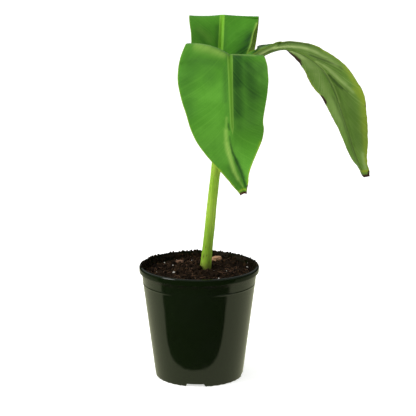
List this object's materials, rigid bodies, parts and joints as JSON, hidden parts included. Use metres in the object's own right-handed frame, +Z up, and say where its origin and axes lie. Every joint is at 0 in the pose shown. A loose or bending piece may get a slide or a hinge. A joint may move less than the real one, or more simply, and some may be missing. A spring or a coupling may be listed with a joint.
{
  "type": "potted banana plant",
  "caption": "Young banana plant with broad arching leaves on a slender pseudostem, growing in a round tapered nursery pot of dark potting mix.",
  "frame": {"origin": "middle of the pot's base, on the surface that the pot stands on, on the axis of the pot", "axes": "+Z up along the pot's axis, +X towards the side that the arching side leaf reaches to, +Y towards the back, away from the leaf that hangs down in front"},
  "size_m": [0.2965, 0.159, 0.4607],
  "materials": {
    "pot": "dark green-black moulded polypropylene, glossy with soft reflections and fine scuffs",
    "soil": "moist dark brown peat and bark mix, crumbly and matt",
    "pseudostem": "fresh yellow-green leaf sheaths, satin, with fine lengthwise lines",
    "leaf": "mid-green banana blade, satin, fine side veins and a pale yellow-green midrib",
    "leaf_underside": "banana blade with a greyish waxy underside and brown-edged margin",
    "bark_tan": "dry fibrous bark chip, pale tan",
    "bark_brown": "dry bark chip, reddish brown",
    "perlite": "off-white expanded volcanic glass, matt and porous"
  },
  "bodies": {
    "root": {"pot": "pot", "soil": "soil", "pseudostem": "pseudostem", "leaf_front": "leaf", "leaf_back": "leaf", "leaf_right": "leaf_underside", "bark_chip_tan": "bark_tan", "bark_chip_brown": "bark_brown", "perlite_front": "perlite", "perlite_stem": "perlite", "perlite_right": "perlite"}
  },
  "joints": []
}
